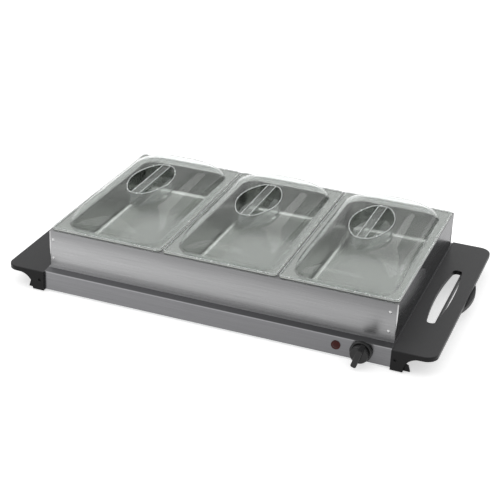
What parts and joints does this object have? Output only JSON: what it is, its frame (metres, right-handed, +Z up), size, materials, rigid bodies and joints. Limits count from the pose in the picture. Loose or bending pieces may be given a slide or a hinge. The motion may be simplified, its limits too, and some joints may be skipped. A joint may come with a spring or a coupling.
{
  "type": "electric food warmer tray",
  "caption": "Electric buffet warmer: steel warming base with black end handles, a lift-off frame, steel pans and clear domed lids.",
  "frame": {"origin": "on the table under the middle of the whole appliance, knob and handles included", "axes": "+X to the right-hand handle, -Y to the user's side with the knob, +Z up"},
  "size_m": [0.63, 0.3712, 0.1208],
  "materials": {
    "stainless_satin": "satin",
    "stainless_bright": "bright",
    "zinc_sheet": "galvanised",
    "zinc_fasteners": "zinc plated",
    "black_plastic": "matt",
    "black_rubber": "matt",
    "clear_plastic": "clear, polished",
    "red_lens": "translucent, polished",
    "mica": "matt",
    "resistance_ribbon": "dull",
    "glass_wool": "fibrous",
    "phenolic": "moulded",
    "white_nylon": "moulded",
    "brass_terminals": "tinned",
    "fuse_metal": "satin",
    "wire_sleeve": "silicone sleeve"
  },
  "bodies": {
    "base": {"base_shell": "stainless_satin", "bottom_cover": "zinc_sheet", "bottom_cover_screws": "zinc_fasteners", "standoff_posts": "zinc_fasteners", "heater_studs": "zinc_fasteners", "heater_nuts": "zinc_fasteners", "insulation_blanket": "glass_wool", "thermal_fuse": "fuse_metal", "fuse_saddle": "zinc_fasteners", "thermostat_body": "phenolic", "thermostat_nut": "zinc_fasteners", "thermostat_tabs": "brass_terminals", "indicator_lens": "red_lens", "indicator_holder": "phenolic", "indicator_nut": "zinc_fasteners", "cord_bush": "black_rubber", "terminal_block": "white_nylon", "earth_tag": "brass_terminals", "earth_stud": "zinc_fasteners", "earth_nut": "zinc_fasteners", "wire_live": "wire_sleeve", "wire_switched": "wire_sleeve", "wire_neutral": "wire_sleeve", "wire_earth": "wire_sleeve", "wire_heater_links": "wire_sleeve", "wire_lamp": "wire_sleeve", "left_handle": "black_plastic", "right_handle": "black_plastic", "handle_screws": "zinc_fasteners", "foot_pads": "black_rubber", "heater_mica_left": "mica", "heater_backing_left": "mica", "heater_ribbon_left": "resistance_ribbon", "clamp_plate_left": "zinc_sheet", "heater_mica_middle": "mica", "heater_backing_middle": "mica", "heater_ribbon_middle": "resistance_ribbon", "clamp_plate_middle": "zinc_sheet", "heater_mica_right": "mica", "heater_backing_right": "mica", "heater_ribbon_right": "resistance_ribbon", "clamp_plate_right": "zinc_sheet"},
    "knob": {"control_knob": "black_plastic", "knob_clip": "zinc_fasteners", "thermostat_shaft": "zinc_fasteners"},
    "pan_frame": {"frame_front": "stainless_satin", "frame_rear": "stainless_satin", "frame_left": "stainless_satin", "frame_right": "stainless_satin", "frame_rivets": "stainless_bright", "cross_bar_left": "stainless_satin", "cross_bar_right": "stainless_satin"},
    "left_pan": {"pan_left": "stainless_bright"},
    "left_lid": {"lid_left": "clear_plastic"},
    "middle_pan": {"pan_middle": "stainless_bright"},
    "middle_lid": {"lid_middle": "clear_plastic"},
    "right_pan": {"pan_right": "stainless_bright"},
    "right_lid": {"lid_right": "clear_plastic"}
  },
  "joints": [
    {"name": "knob_turn", "type": "hinge", "parent": "base", "child": "knob", "pos_m": [0.211, -0.1604, 0.0172], "axis": [0, 1, 0], "range_deg": [0, 270]},
    {"name": "frame_lift", "type": "slide", "parent": "base", "child": "pan_frame", "axis": [0, 0, 1], "range_m": [0, 0.15]},
    {"name": "left_pan_lift", "type": "slide", "parent": "pan_frame", "child": "left_pan", "axis": [0, 0, 1], "range_m": [0, 0.12]},
    {"name": "left_lid_lift", "type": "slide", "parent": "left_pan", "child": "left_lid", "axis": [0, 0, 1], "range_m": [0, 0.08]},
    {"name": "middle_pan_lift", "type": "slide", "parent": "pan_frame", "child": "middle_pan", "axis": [0, 0, 1], "range_m": [0, 0.12]},
    {"name": "middle_lid_lift", "type": "slide", "parent": "middle_pan", "child": "middle_lid", "axis": [0, 0, 1], "range_m": [0, 0.08]},
    {"name": "right_pan_lift", "type": "slide", "parent": "pan_frame", "child": "right_pan", "axis": [0, 0, 1], "range_m": [0, 0.12]},
    {"name": "right_lid_lift", "type": "slide", "parent": "right_pan", "child": "right_lid", "axis": [0, 0, 1], "range_m": [0, 0.08]}
  ]
}
